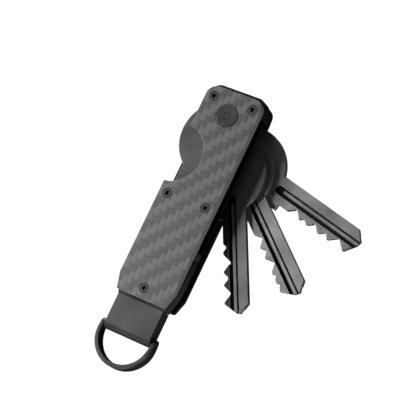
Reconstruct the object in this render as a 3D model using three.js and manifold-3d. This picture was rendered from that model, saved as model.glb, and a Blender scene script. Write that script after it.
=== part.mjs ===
// Key organiser: a folding key holder with four keys on one pivot, a carbon-fibre front
// cover on a steel liner, and a pull-out tab with a D-ring.
// Millimetres. The holder lies on its rear cover: +Z is out of the front cover, +Y runs
// along the case to the pivot end, and the origin is on the rear face.
import * as THREE from 'three';
import { mergeVertices } from 'three/addons/utils/BufferGeometryUtils.js';
import Module from 'manifold-3d';

const wasm = await Module();
wasm.setup();

// ---- driving dimensions -------------------------------------------------------------
// Everything below is measured from the pivot axis; the case group moves it up by PIVOT_Y.
const PIVOT_Y = 25;

const HALF_WIDTH = 9.25;
const TOP = 7.4;
const BOTTOM = -57.7;
const CORNER_RADIUS = 3.2;
const CHAMFER_Y = -52.9;          // where the bottom corners start to narrow
const BOTTOM_HALF_WIDTH = 7.9;
const TOP_LIP = 1.15;             // the liners stand out past the covers at both ends
const BOTTOM_LIP = 0.8;
const REAR_LIP = 0.3;
const REAR_SHORT = 0.45;          // the rear cover ends this much higher at the bottom
const REAR_INSET = 1.1;           // and is this much narrower on each side
const SPACER_INSET = 0.6;

// Finger notch in the left side of the front cover and its liner.
const NOTCH = { x: -10.33, y: -15.05, radius: 8.99, lipX: -8.2, lipRound: 0.6 };

// Heights of the layers, from the rear face.
const REAR_COVER_TOP = 0.9;
const REAR_LINER_TOP = 1.4;
const DIVIDER_BOTTOM = 6.38;
const DIVIDER_TOP = 6.8;
const FRONT_LINER_BOTTOM = 9.74;
const FRONT_COVER_BOTTOM = 10.3;
const FRONT_FACE = 12.3;

// Keys. Each turns about the pivot; angle is its blade's direction from +X.
// along runs down the blade and perp square to it, towards the plain back edge.
const KEY_THICKNESS = 1.5;
const KEY_GAP = 0.12;
const EYE_RADIUS = 4.3;
const KEYS = [
  {
    name: 'key_1', angle: -13.4, bottom: REAR_LINER_TOP + KEY_GAP,
    bow: { along: 9.6, perp: -9.3, radius: 13.5 }, back: -3.6, crest: -11.3, tip: 52.4, point: 49.7,
    cuts: [[31.0, 1.6], [34.5, 0.7], [38.1, 1.3], [42.1, 1.0], [46.5, 2.0]],
    shoulder: { along: 25.6, perp: -13.2 },
  },
  {
    name: 'key_2', angle: -39.9, bottom: REAR_LINER_TOP + 2 * KEY_GAP + KEY_THICKNESS,
    bow: { along: 12.3, perp: -7.1, radius: 13.3 }, back: -0.85, crest: -8.45, tip: 55.2, point: 52.2,
    cuts: [[35.3, 1.6], [39.3, 1.1], [43.5, 1.75], [47.3, 0.55], [50.2, 0.55]],
    shoulder: { along: 27.5, perp: -9.9 },
  },
  {
    name: 'key_3', angle: -61.8, bottom: REAR_LINER_TOP + 3 * KEY_GAP + 2 * KEY_THICKNESS,
    bow: { along: 14.4, perp: -3.7, radius: 13.3 }, back: 2.95, crest: -4.2, tip: 57.0, point: 53.8,
    cuts: [[37.3, 0.8], [41.8, 1.9], [46.4, 1.2], [50.9, 1.8]],
    shoulder: { along: 29.0, perp: -5.6 },
  },
  {
    name: 'key_4', angle: -90, bottom: 7.6,
    bow: { along: 7.05, perp: -0.4, radius: 12.3 }, trim: { along: 9, perp: -8.5, radius: 12 },
    back: -7.6, crest: -0.6, tip: 37.0, point: 34.0,
    cuts: [[22.4, 1.2], [25.8, 0.7], [29.6, 1.6]],
    shoulder: { along: 18.6, perp: 0.6 },
  },
];
const CUT_FLAT = 0.3;             // half the flat at the bottom of a cut
const CUT_SLOPE = 1.15;           // run of a cut's sides for each millimetre of depth
const GROOVE_START = 23.1;
const GROOVE_LENGTH_MIN = 12;
// Grooves down each face, by their distance from the plain back edge.
// In front, two of them run in the floor of a wide shallow one, with a ridge between.
const FRONT_GROOVES = [
  { from: 2.9, to: 5.4, depth: 0.15 },
  { from: 2.9, to: 3.5, depth: 0.5 },
  { from: 4.3, to: 5.4, depth: 0.8 },
];
const REAR_GROOVES = [{ from: 1.3, to: 2.3, depth: 0.6 }, { from: 3.5, to: 3.9, depth: 0.35 }];

// Pivot: a hollow post from the rear and a screw into it from the front.
const POST = { radius: 2.2, bore: 1.3, headRadius: 3.4, headTop: 0.75, top: 11.05 };
const PIVOT_HEAD = { radius: 3.45, bottom: 11.15, top: 12.35 };
const PIVOT_SHANK = { radius: 1.2, end: 2.2 };
const SPANNER_HOLES = { count: 6, circle: 1.0, radius: 0.2, depth: 0.4 };
const PIVOT_HOLE = 2.3;
const WASHER_RADIUS = 4.2;
const WASHER_PLAY = 0.02;

// Case screws, where the covers are fastened.
const SCREW = { head: 1.4, seat: 1.5, shank: 0.8, hole: 0.9, socket: 0.75, socketDepth: 0.45 };
const SCREWS = [
  { name: 'top_left', x: -6.5, y: 4.25, long: true },
  { name: 'top_right', x: 6.5, y: 4.25, long: true },
  { name: 'middle_left', x: -6.45, y: -27.05, long: false },
  { name: 'middle_right', x: 6.45, y: -27.05, long: false },
  { name: 'bottom', x: 0, y: -54.7, long: false },
];

// Spacers that hold the plates apart.
const SPACER_END_Y = 3.2;
const SPACER_HOLLOW = 6.15;
const WALL = { inner: -7.6, top: -28.5 };

// Latch housing, release button and its spring, in the lower front bay.
const HOUSING_TOP = -39.5;
const POCKET = { halfWidth: 6.7, top: -49.8 };
const BUTTON = { inner: 7.95, outer: 9.5, top: -41.9, bottom: -48.9, low: 7.0, high: 9.54 };
const BUTTON_PLAY = 0.15;
const BUTTON_TRAVEL = 0.7;
const SPRING = { radius: 0.85, wire: 0.16, inner: 4.2, turns: 5, seat: 1.15 };

// Pull-out tab with the D-ring on a pin through its rounded end.
const TONGUE = { halfWidth: 6.5, top: -50.1, low: 7.0, high: 9.54, slot: 1.1, slotEnd: -56.6 };
const TAB = { halfWidth: 7.72, top: -58.55, low: 5.9, high: 10.3, roundY: -67.1 };
const PIN = { y: -67.9, z: 8.1, radius: 0.75, halfLength: 9.3 };
const PIN_PLAY = 0.06;
const RING = { outer: 9.35, inner: 7.95, centreY: -69.3, low: 6.3, high: 10.0 };
const RING_EYE = { radius: 1.4, fullY: -72 };

// ---- materials ------------------------------------------------------------------------
const finish = (color, roughness, metalness) =>
  new THREE.MeshStandardMaterial({ color, roughness, metalness });
const CARBON = finish(0x5e5e5e, 0.45, 0.1);
const BLACK_STEEL = finish(0x1b1b1c, 0.4, 0.7);
const DARK_ALUMINIUM = finish(0x3a3a3b, 0.45, 0.7);
const KEY_STEEL = finish(0x585858, 0.35, 0.9);
const SPRING_STEEL = finish(0x8a8a8a, 0.3, 1.0);
const NYLON = finish(0x242424, 0.6, 0.0);

// ---- helpers --------------------------------------------------------------------------
/** A closed three.js geometry as a manifold solid. */
function solid(geometry) {
  const bare = geometry.clone();
  bare.deleteAttribute('normal');
  bare.deleteAttribute('uv');
  const merged = mergeVertices(bare, 1e-5);
  return new wasm.Manifold(new wasm.Mesh({
    numProp: 3,
    vertProperties: Float32Array.from(merged.attributes.position.array),
    triVerts: Uint32Array.from(merged.index.array),
  }));
}

/** A manifold solid as a three.js geometry. */
function geometryOf(body) {
  const mesh = body.getMesh();
  const geometry = new THREE.BufferGeometry();
  geometry.setAttribute('position', new THREE.BufferAttribute(mesh.vertProperties, 3));
  geometry.setIndex(new THREE.BufferAttribute(mesh.triVerts, 1));
  geometry.computeVertexNormals();
  return geometry;
}

/** An outline in the XY plane as a solid between two heights. */
function slab(shape, low, high, curveSegments = 12) {
  const geometry = new THREE.ExtrudeGeometry(shape, {
    depth: high - low, bevelEnabled: false, curveSegments,
  });
  geometry.translate(0, 0, low);
  return solid(geometry);
}

/** A round bar along Z. */
function bar(x, y, radius, low, high, segments = 32) {
  const geometry = new THREE.CylinderGeometry(radius, radius, high - low, segments);
  geometry.rotateX(Math.PI / 2);
  geometry.translate(x, y, (low + high) / 2);
  return solid(geometry);
}

/** A round bar along X. */
function crossBar(y, z, radius, from, to, segments = 24) {
  const geometry = new THREE.CylinderGeometry(radius, radius, to - from, segments);
  geometry.rotateZ(Math.PI / 2);
  geometry.translate((from + to) / 2, y, z);
  return solid(geometry);
}

/** An outline drawn in the YZ plane, as a solid between two places along X. */
function sideSlab(shape, from, to, curveSegments = 12) {
  const geometry = new THREE.ExtrudeGeometry(shape, {
    depth: to - from, bevelEnabled: false, curveSegments,
  });
  geometry.applyMatrix4(new THREE.Matrix4().set(
    0, 0, 1, from,
    1, 0, 0, 0,
    0, 1, 0, 0,
    0, 0, 0, 1,
  ));
  return solid(geometry);
}

/** A box from its low and high corners. */
function block(low, high) {
  const size = high.map((value, i) => value - low[i]);
  const geometry = new THREE.BoxGeometry(...size);
  geometry.translate(...high.map((value, i) => (value + low[i]) / 2));
  return solid(geometry);
}

/** A closed straight-sided outline through points. */
function outline(points) {
  return new THREE.Shape(points.map(([x, y]) => new THREE.Vector2(x, y)));
}

const organiser = new THREE.Group();
const assembly = new THREE.Group();
assembly.position.y = PIVOT_Y;
organiser.add(assembly);

/** Adds one named piece to the holder, or to a turned group inside it. */
function addPart(name, body, material, parent = assembly) {
  const mesh = new THREE.Mesh(geometryOf(body), material);
  mesh.name = name;
  parent.add(mesh);
}

// ---- plates ---------------------------------------------------------------------------
const LIPS = { topLip: TOP_LIP, bottomLip: BOTTOM_LIP };

/** The case outline: rounded at the pivot end, narrowed at the bottom corners. */
function caseShape({ inset = 0, topLip = 0, bottomLip = 0, notched = false }) {
  const half = HALF_WIDTH - inset;
  const bottomHalf = BOTTOM_HALF_WIDTH - inset;
  const top = TOP + topLip;
  const bottom = BOTTOM - bottomLip;
  const radius = CORNER_RADIUS;
  const shape = new THREE.Shape();
  shape.moveTo(-bottomHalf, bottom);
  shape.lineTo(bottomHalf, bottom);
  shape.lineTo(half, CHAMFER_Y);
  shape.lineTo(half, top - radius);
  shape.absarc(half - radius, top - radius, radius, 0, Math.PI / 2, false);
  shape.lineTo(-half + radius, top);
  shape.absarc(-half + radius, top - radius, radius, Math.PI / 2, Math.PI, false);
  if (notched) {
    const entry = Math.acos((-half - NOTCH.x) / NOTCH.radius);
    const exit = -Math.acos((NOTCH.lipX - NOTCH.x) / NOTCH.radius);
    const lipY = NOTCH.y + NOTCH.radius * Math.sin(exit);
    shape.absarc(NOTCH.x, NOTCH.y, NOTCH.radius, entry, exit, true);
    shape.lineTo(-half + NOTCH.lipRound, lipY);
    shape.quadraticCurveTo(-half, lipY, -half, lipY - NOTCH.lipRound);
  }
  shape.lineTo(-half, CHAMFER_Y);
  shape.closePath();
  return shape;
}

/** Cuts a plate's pivot hole and its screw holes, with seats for heads where asked. */
function drill(plate, low, high, { seatBelow, seatAbove, headSeat }) {
  let body = plate.subtract(bar(0, 0, PIVOT_HOLE, low - 1, high + 1, 28));
  if (headSeat) {
    body = body.subtract(bar(0, 0, headSeat.radius, headSeat.low, headSeat.high, 48));
  }
  for (const { x, y } of SCREWS) {
    body = body.subtract(bar(x, y, SCREW.hole, low - 1, high + 1, 12));
    if (seatAbove !== undefined) {
      body = body.subtract(bar(x, y, SCREW.seat, seatAbove, high + 1, 20));
    }
    if (seatBelow !== undefined) {
      body = body.subtract(bar(x, y, SCREW.seat, low - 1, seatBelow, 20));
    }
  }
  return body;
}

function addPlates() {
  const seatAbove = FRONT_FACE - 1;
  const seatBelow = 0.7;
  const frontHeadSeat = { radius: PIVOT_HEAD.radius + 0.15, low: 11.1, high: FRONT_FACE + 1 };
  const rearHeadSeat = { radius: POST.headRadius + 0.15, low: -1, high: POST.headTop + 0.05 };

  const cover = slab(caseShape({ notched: true }), FRONT_COVER_BOTTOM, FRONT_FACE, 16);
  addPart('front_cover', drill(cover, FRONT_COVER_BOTTOM, FRONT_FACE,
    { seatAbove, headSeat: frontHeadSeat }), CARBON);

  const liner = slab(caseShape({ ...LIPS, notched: true }),
    FRONT_LINER_BOTTOM, FRONT_COVER_BOTTOM, 16);
  addPart('front_liner', drill(liner, FRONT_LINER_BOTTOM, FRONT_COVER_BOTTOM, {}), BLACK_STEEL);

  const divider = slab(caseShape(LIPS), DIVIDER_BOTTOM, DIVIDER_TOP, 10);
  addPart('divider_plate', drill(divider, DIVIDER_BOTTOM, DIVIDER_TOP, {}), BLACK_STEEL);

  const rearLiner = slab(
    caseShape({ inset: REAR_INSET, topLip: REAR_LIP, bottomLip: REAR_LIP - REAR_SHORT }),
    REAR_COVER_TOP, REAR_LINER_TOP, 10);
  addPart('rear_liner', drill(rearLiner, REAR_COVER_TOP, REAR_LINER_TOP, {}), BLACK_STEEL);

  const rearCover = slab(caseShape({ inset: REAR_INSET, bottomLip: -REAR_SHORT }),
    0, REAR_COVER_TOP, 10);
  addPart('rear_cover', drill(rearCover, 0, REAR_COVER_TOP,
    { seatBelow, headSeat: rearHeadSeat }), BLACK_STEEL);
}

// ---- spacers and walls ----------------------------------------------------------------
/** The closed end wall round the pivot, between two plates. */
function topSpacer(low, high, inset) {
  const end = block([-20, SPACER_END_Y, low - 1], [20, 20, high + 1]);
  let body = slab(caseShape({ inset, ...LIPS }), low, high, 10).intersect(end);
  body = body.subtract(bar(0, 0, SPACER_HOLLOW, low - 1, high + 1, 48));
  for (const { x, y, long } of SCREWS) {
    if (long) body = body.subtract(bar(x, y, SCREW.hole, low - 1, high + 1, 16));
  }
  return body;
}

/** The wall down the left side of the rear bay, which the blades close against. */
function backWall() {
  const low = REAR_LINER_TOP;
  const high = DIVIDER_BOTTOM;
  const side = caseShape({ inset: SPACER_INSET });
  const keep = block([-20, -80, low - 1], [WALL.inner, WALL.top, high + 1]);
  const foot = slab(outline([
    [WALL.inner - 0.5, -53.5], [WALL.inner + 1.4, BOTTOM - 1], [WALL.inner - 3, BOTTOM - 1],
    [WALL.inner - 3, -53.5],
  ]), low, high);
  return slab(side, low, high, 8).intersect(keep.add(foot));
}

// ---- keys -----------------------------------------------------------------------------
/** The blade outline: plain back edge, a shoulder and angled cuts opposite, a pointed tip. */
function bladeShape(key) {
  const side = Math.sign(key.back - key.crest);
  const width = Math.abs(key.back - key.crest);
  const points = [
    [key.bow.along, key.back],
    [key.tip - 2.6, key.back],
    [key.tip, key.back - side * width * 0.34],
    [key.tip - 0.3, key.back - side * width * 0.55],
    [key.point, key.crest],
  ];
  for (const [centre, depth] of [...key.cuts].reverse()) {
    const run = CUT_FLAT + depth * CUT_SLOPE;
    const floor = key.crest + side * depth;
    points.push([centre + run, key.crest], [centre + CUT_FLAT, floor]);
    points.push([centre - CUT_FLAT, floor], [centre - run, key.crest]);
  }
  points.push([key.shoulder.along, key.crest], [key.shoulder.along, key.shoulder.perp]);
  points.push([key.bow.along, key.shoulder.perp]);
  return outline(side > 0 ? points.reverse() : points);
}

/** A milled groove down the blade, with a round end near the bow. */
function grooveShape(key, { from, to }) {
  const side = Math.sign(key.crest - key.back);
  const middle = key.back + side * (from + to) / 2;
  const half = (to - from) / 2;
  const start = Math.min(GROOVE_START, key.tip - GROOVE_LENGTH_MIN);
  const shape = new THREE.Shape();
  shape.moveTo(key.tip + 5, middle + half);
  shape.lineTo(start, middle + half);
  shape.absarc(start, middle, half, Math.PI / 2, Math.PI * 1.5, false);
  shape.lineTo(key.tip + 5, middle - half);
  shape.closePath();
  return shape;
}

function addKey(key) {
  const low = key.bottom;
  const high = low + KEY_THICKNESS;
  const disc = ({ along, perp, radius }) => bar(along, perp, radius, low, high, 60);
  let bow = disc(key.bow);
  if (key.trim) bow = bow.intersect(disc(key.trim));
  let body = bow.add(bar(0, 0, EYE_RADIUS, low, high, 40));
  body = body.add(slab(bladeShape(key), low, high));
  body = body.subtract(bar(0, 0, PIVOT_HOLE, low - 1, high + 1, 36));
  for (const groove of FRONT_GROOVES) {
    body = body.subtract(slab(grooveShape(key, groove), high - groove.depth, high + 1, 6));
  }
  for (const groove of REAR_GROOVES) {
    body = body.subtract(slab(grooveShape(key, groove), low - 1, low + groove.depth, 6));
  }
  const turned = new THREE.Group();
  turned.rotation.z = THREE.MathUtils.degToRad(key.angle);
  assembly.add(turned);
  addPart(key.name, body, KEY_STEEL, turned);
}

// ---- pivot ----------------------------------------------------------------------------
function addPivot() {
  const post = bar(0, 0, POST.radius, 0.4, POST.top, 36)
    .add(bar(0, 0, POST.headRadius, 0.05, POST.headTop, 48))
    .subtract(bar(0, 0, POST.bore, 1.2, POST.top + 1, 24));
  addPart('pivot_post', post, DARK_ALUMINIUM);

  let screw = bar(0, 0, PIVOT_HEAD.radius, PIVOT_HEAD.bottom, PIVOT_HEAD.top, 48)
    .add(bar(0, 0, PIVOT_SHANK.radius, PIVOT_SHANK.end, PIVOT_HEAD.bottom + 0.1, 24));
  for (let i = 0; i < SPANNER_HOLES.count; i += 1) {
    const angle = (2 * Math.PI * i) / SPANNER_HOLES.count + Math.PI / 6;
    screw = screw.subtract(bar(
      SPANNER_HOLES.circle * Math.cos(angle), SPANNER_HOLES.circle * Math.sin(angle),
      SPANNER_HOLES.radius, PIVOT_HEAD.top - SPANNER_HOLES.depth, PIVOT_HEAD.top + 1, 8,
    ));
  }
  addPart('pivot_screw', screw, DARK_ALUMINIUM);
}

/** Washers fill the space below, between and above the keys. */
function addWashers() {
  const [first, second, third, fourth] = KEYS.map((key) => key.bottom);
  const spaces = [
    [REAR_LINER_TOP, first],
    [first + KEY_THICKNESS, second],
    [second + KEY_THICKNESS, third],
    [third + KEY_THICKNESS, DIVIDER_BOTTOM],
    [DIVIDER_TOP, fourth],
    [fourth + KEY_THICKNESS, FRONT_LINER_BOTTOM],
  ];
  spaces.forEach(([low, high], index) => {
    const bottom = low + WASHER_PLAY;
    const top = high - WASHER_PLAY;
    const ring = bar(0, 0, WASHER_RADIUS, bottom, top, 30)
      .subtract(bar(0, 0, PIVOT_HOLE, bottom - 1, top + 1, 24));
    addPart(`washer_${index + 1}`, ring, NYLON);
  });
}

// ---- case screws ----------------------------------------------------------------------
/** A socket-head screw, its head's outer face at headFace and its tip at tip. */
function caseScrew({ x, y }, headFace, headInner, tip) {
  const out = Math.sign(headFace - headInner);
  const span = (a, b) => [Math.min(a, b), Math.max(a, b)];
  const head = bar(x, y, SCREW.head, ...span(headFace, headInner), 20);
  const shank = bar(x, y, SCREW.shank, ...span(headInner + out * 0.1, tip), 12);
  const socket = bar(x, y, SCREW.socket,
    ...span(headFace + out, headFace - out * SCREW.socketDepth), 6);
  return head.add(shank).subtract(socket);
}

function addScrews() {
  for (const screw of SCREWS) {
    let frontTip = screw.long ? 7.2 : 9.8;
    if (screw.name === 'bottom') frontTip = DIVIDER_BOTTOM + 0.05;
    addPart(`front_screw_${screw.name}`,
      caseScrew(screw, FRONT_FACE - 0.1, FRONT_FACE - 0.95, frontTip), BLACK_STEEL);
    addPart(`rear_screw_${screw.name}`,
      caseScrew(screw, 0.05, 0.65, screw.long ? 5.4 : REAR_LINER_TOP - 0.05), BLACK_STEEL);
  }
}

// ---- latch and tab --------------------------------------------------------------------
/** The block in the lower front bay that the tab slides into and the button sits in. */
function latchHousing() {
  const low = DIVIDER_TOP;
  const high = FRONT_LINER_BOTTOM;
  const bottom = BOTTOM - BOTTOM_LIP;
  const middle = (BUTTON.top + BUTTON.bottom) / 2;
  let body = slab(caseShape(LIPS), low, high)
    .intersect(block([-20, bottom - 1, low - 1], [20, HOUSING_TOP, high + 1]));
  body = body.subtract(block(
    [-POCKET.halfWidth, bottom - 2, low - 1], [POCKET.halfWidth, POCKET.top, high + 1]));
  body = body.subtract(block(
    [BUTTON.inner - BUTTON_TRAVEL - 0.1, BUTTON.bottom - BUTTON_PLAY, low - 1],
    [20, BUTTON.top + BUTTON_PLAY, high + 1]));
  return body.subtract(crossBar(middle, (low + high) / 2, SPRING.seat,
    SPRING.inner - SPRING.wire - 0.05, BUTTON.inner, 20));
}

/** The slim side button, with rounded ends when seen from the side. */
function releaseButton() {
  const radius = (BUTTON.high - BUTTON.low) / 2;
  const shape = new THREE.Shape();
  shape.moveTo(BUTTON.top - radius, BUTTON.high);
  shape.absarc(BUTTON.top - radius, BUTTON.low + radius, radius, Math.PI / 2, -Math.PI / 2, true);
  shape.lineTo(BUTTON.bottom, BUTTON.low);
  shape.lineTo(BUTTON.bottom, BUTTON.high);
  shape.closePath();
  return sideSlab(shape, BUTTON.inner, BUTTON.outer);
}

/** A small helical spring along X, behind the button. */
class HelixCurve extends THREE.Curve {
  constructor(start, length, radius, turns, y, z) {
    super();
    Object.assign(this, { start, length, radius, turns, y, z });
  }

  getPoint(t, target = new THREE.Vector3()) {
    const angle = 2 * Math.PI * this.turns * t;
    return target.set(this.start + this.length * t,
      this.y + this.radius * Math.cos(angle), this.z + this.radius * Math.sin(angle));
  }
}

function releaseSpring() {
  const section = new THREE.Shape();
  section.absarc(0, 0, SPRING.wire, 0, 2 * Math.PI, false);
  const path = new HelixCurve(SPRING.inner, BUTTON.inner - 2 * SPRING.wire - SPRING.inner,
    SPRING.radius, SPRING.turns, (BUTTON.top + BUTTON.bottom) / 2,
    (DIVIDER_TOP + FRONT_LINER_BOTTOM) / 2);
  return solid(new THREE.ExtrudeGeometry(section, {
    steps: SPRING.turns * 9, curveSegments: 3, extrudePath: path, bevelEnabled: false,
  }));
}

/** The tab: a thick outer part with a rounded end, and a thinner tongue inside the case. */
function ringTab() {
  const radius = (TAB.high - TAB.low) / 2;
  const middle = (TAB.high + TAB.low) / 2;
  const outer = block([-TAB.halfWidth, TAB.roundY, TAB.low], [TAB.halfWidth, TAB.top, TAB.high])
    .add(crossBar(TAB.roundY, middle, radius, -TAB.halfWidth, TAB.halfWidth, 40));
  const tongue = block([-TONGUE.halfWidth, TAB.top - 1, TONGUE.low],
    [TONGUE.halfWidth, TONGUE.top, TONGUE.high]);
  const slotCut = block([-TONGUE.slot, TONGUE.slotEnd, 0], [TONGUE.slot, TONGUE.top + 1, 20])
    .add(bar(0, TONGUE.slotEnd, TONGUE.slot, 0, 20, 20));
  return outer.add(tongue.subtract(slotCut))
    .subtract(crossBar(PIN.y, PIN.z, PIN.radius + PIN_PLAY, -20, 20, 20));
}

/** The D-ring seen from the side: round ends at the pin, widening to the full band. */
function legProfile() {
  const { low, high } = RING;
  const { radius, fullY } = RING_EYE;
  const shape = new THREE.Shape();
  shape.moveTo(-90, low);
  shape.lineTo(fullY, low);
  shape.lineTo(PIN.y, PIN.z - radius);
  shape.absarc(PIN.y, PIN.z, radius, -Math.PI / 2, Math.PI / 2, false);
  shape.lineTo(fullY, high);
  shape.lineTo(-90, high);
  shape.closePath();
  return shape;
}

/** The D-ring: a flat band bent round, with an eye for the pin at the end of each leg. */
function dRing() {
  const { outer, inner, centreY, low, high } = RING;
  const top = PIN.y + RING_EYE.radius;
  const shape = new THREE.Shape();
  shape.moveTo(outer, top);
  shape.lineTo(inner, top);
  shape.absarc(0, centreY, inner, 0, -Math.PI, true);
  shape.lineTo(-inner, top);
  shape.lineTo(-outer, top);
  shape.absarc(0, centreY, outer, Math.PI, 2 * Math.PI, false);
  shape.closePath();
  const band = slab(shape, low, high, 28);
  return band.intersect(sideSlab(legProfile(), -20, 20, 16))
    .subtract(crossBar(PIN.y, PIN.z, PIN.radius + PIN_PLAY, -20, 20, 20));
}

function addLatchAndTab() {
  addPart('latch_housing', latchHousing(), BLACK_STEEL);
  addPart('release_button', releaseButton(), DARK_ALUMINIUM);
  addPart('release_spring', releaseSpring(), SPRING_STEEL);
  addPart('ring_tab', ringTab(), DARK_ALUMINIUM);
  addPart('ring_pin',
    crossBar(PIN.y, PIN.z, PIN.radius, -PIN.halfLength, PIN.halfLength, 20), BLACK_STEEL);
  addPart('d_ring', dRing(), DARK_ALUMINIUM);
}

addPlates();
addPart('top_spacer_rear', topSpacer(REAR_LINER_TOP, DIVIDER_BOTTOM, SPACER_INSET), BLACK_STEEL);
addPart('top_spacer_front', topSpacer(DIVIDER_TOP, FRONT_LINER_BOTTOM, 0), BLACK_STEEL);
addPart('back_wall', backWall(), BLACK_STEEL);
KEYS.forEach(addKey);
addPivot();
addWashers();
addScrews();
addLatchAndTab();

export default organiser;
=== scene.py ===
"""Looks of the folding key organiser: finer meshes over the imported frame, materials, light and camera."""

import math

import bmesh
import bpy
from mathutils import Matrix, Vector
from mathutils.geometry import delaunay_2d_cdt, tessellate_polygon


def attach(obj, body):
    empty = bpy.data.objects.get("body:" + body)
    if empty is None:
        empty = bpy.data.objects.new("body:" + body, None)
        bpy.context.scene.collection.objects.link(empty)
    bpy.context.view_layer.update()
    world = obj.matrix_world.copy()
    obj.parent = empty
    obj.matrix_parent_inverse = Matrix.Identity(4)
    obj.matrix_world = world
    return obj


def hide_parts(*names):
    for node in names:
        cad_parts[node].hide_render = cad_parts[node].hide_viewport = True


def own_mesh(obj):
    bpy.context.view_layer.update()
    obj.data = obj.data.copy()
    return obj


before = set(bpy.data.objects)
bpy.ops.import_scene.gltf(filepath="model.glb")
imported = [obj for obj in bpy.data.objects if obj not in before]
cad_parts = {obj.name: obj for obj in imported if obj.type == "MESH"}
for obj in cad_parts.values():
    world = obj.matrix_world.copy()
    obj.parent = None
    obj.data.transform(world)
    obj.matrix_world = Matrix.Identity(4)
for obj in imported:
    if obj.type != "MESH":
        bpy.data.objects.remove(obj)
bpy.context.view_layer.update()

MM = 0.001
SQUARE_ON = 0.99999               # a face whose normal lies along an axis this closely is flat
SHARP_ANGLE = 40                  # in degrees; faces that meet at less are shaded as one surface

# ---- dimensions, in millimetres from the pivot axis, as in the part's source ------------
PIVOT_Y = 25.0
HALF_WIDTH = 9.25
TOP = 7.4
BOTTOM = -57.7
CORNER_RADIUS = 3.2
CHAMFER_Y = -52.9
BOTTOM_HALF_WIDTH = 7.9
TOP_LIP = 1.15
BOTTOM_LIP = 0.8
REAR_LIP = 0.3
REAR_SHORT = 0.45
REAR_INSET = 1.1
SPACER_INSET = 0.6
NOTCH_X, NOTCH_Y, NOTCH_RADIUS, NOTCH_LIP_X, NOTCH_ROUND = -10.33, -15.05, 8.99, -8.2, 0.6

REAR_COVER_TOP = 0.9
REAR_LINER_TOP = 1.4
DIVIDER_BOTTOM = 6.38
DIVIDER_TOP = 6.8
FRONT_LINER_BOTTOM = 9.74
FRONT_COVER_BOTTOM = 10.3
FRONT_FACE = 12.3

PIVOT_HOLE = 2.3
SCREW_HOLE = 0.9
SCREW_SEAT = 1.5
SCREW_HEAD = 1.4
FRONT_SEAT_FLOOR = 11.3
REAR_SEAT_FLOOR = 0.7
LONG_SCREWS = {"top_left": (-6.5, 4.25), "top_right": (6.5, 4.25)}
SHORT_SCREWS = {"middle_left": (-6.45, -27.05), "middle_right": (6.45, -27.05), "bottom": (0.0, -54.7)}
SCREWS = {**LONG_SCREWS, **SHORT_SCREWS}
SCREW_SHANK, SOCKET_RADIUS, SOCKET_DEPTH = 0.8, 0.75, 0.6
FRONT_HEAD_SUNK, FRONT_HEAD_INNER = 0.1, 0.95      # below the front face
FRONT_LONG_TIP, FRONT_SHORT_TIP, REAR_LONG_TIP = 7.2, 9.8, 5.4
REAR_HEAD_FACE, REAR_HEAD_INNER = 0.05, 0.65
TIP_GAP = 0.05
SPACER_END_Y = 3.2
SPACER_HOLLOW = 6.15

KEY_THICKNESS = 1.5
EYE_RADIUS = 4.3
KEYS = {
    "key_1": {
        "angle": -13.4, "low": 1.52, "bow": (9.6, -9.3, 13.5), "back": -3.6, "crest": -11.3,
        "tip": 52.4, "point": 49.7, "shoulder": (25.6, -13.2),
        "cuts": [(31.0, 1.6), (34.5, 0.7), (38.1, 1.3), (42.1, 1.0), (46.5, 2.0)],
    },
    "key_2": {
        "angle": -39.9, "low": 3.14, "bow": (12.3, -7.1, 13.3), "back": -0.85, "crest": -8.45,
        "tip": 55.2, "point": 52.2, "shoulder": (27.5, -9.9),
        "cuts": [(35.3, 1.6), (39.3, 1.1), (43.5, 1.75), (47.3, 0.55), (50.2, 0.55)],
    },
    "key_3": {
        "angle": -61.8, "low": 4.76, "bow": (14.4, -3.7, 13.3), "back": 2.95, "crest": -4.2,
        "tip": 57.0, "point": 53.8, "shoulder": (29.0, -5.6),
        "cuts": [(37.3, 0.8), (41.8, 1.9), (46.4, 1.2), (50.9, 1.8)],
    },
    "key_4": {
        "angle": -90.0, "low": 7.6, "bow": (7.05, -0.4, 12.3), "trim": (9.0, -8.5, 12.0),
        "back": -7.6, "crest": -0.6, "tip": 37.0, "point": 34.0, "shoulder": (18.6, 0.6),
        "cuts": [(22.4, 1.2), (25.8, 0.7), (29.6, 1.6)],
    },
}
CUT_FLAT = 0.3
CUT_SLOPE = 1.15
GROOVE_START = 23.1
GROOVE_LENGTH_MIN = 12.0
RIDGE_RECESS = (2.9, 5.4, 0.15)
RIDGE_START = 24.6
FRONT_GROOVES = [(2.9, 3.5, 0.5), (4.3, 5.4, 0.8)]
REAR_GROOVES = [(1.3, 2.3, 0.6), (3.5, 3.9, 0.35)]
GROOVE_SLOPE = 0.12
KEY_BEVEL = 0.24
LINE_BEFORE_SHOULDER, LINE_WIDTH, LINE_DEPTH = 6.1, 0.14, 0.07
KEY_TONES_AND_SHADE = {                     # dark and light grey of one metal, set darker on key_3 and key_4 as painted shade, then the share of it left beside the cuts, also painted shade
    "key_1": (0.24, 0.33),
    "key_2": (0.235, 0.32),
    "key_3": (0.135, 0.185, 0.2),
    "key_4": (0.062, 0.085),
}

HEAD_RADIUS, HEAD_BOTTOM, HEAD_TOP, HEAD_BEVEL = 3.45, 11.15, 12.35, 0.28
HEAD_SEAT_PLAY, HEAD_SEAT_FLOOR = 0.07, 11.1
SHANK_RADIUS, SHANK_END = 1.2, 2.2
SPANNER_COUNT, SPANNER_CIRCLE, SPANNER_RADIUS, SPANNER_DEPTH = 6, 1.0, 0.2, 0.4
POST_HEAD_RADIUS, POST_HEAD_TOP, POST_SEAT_PLAY, POST_SEAT_GAP = 3.4, 0.75, 0.15, 0.05

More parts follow.
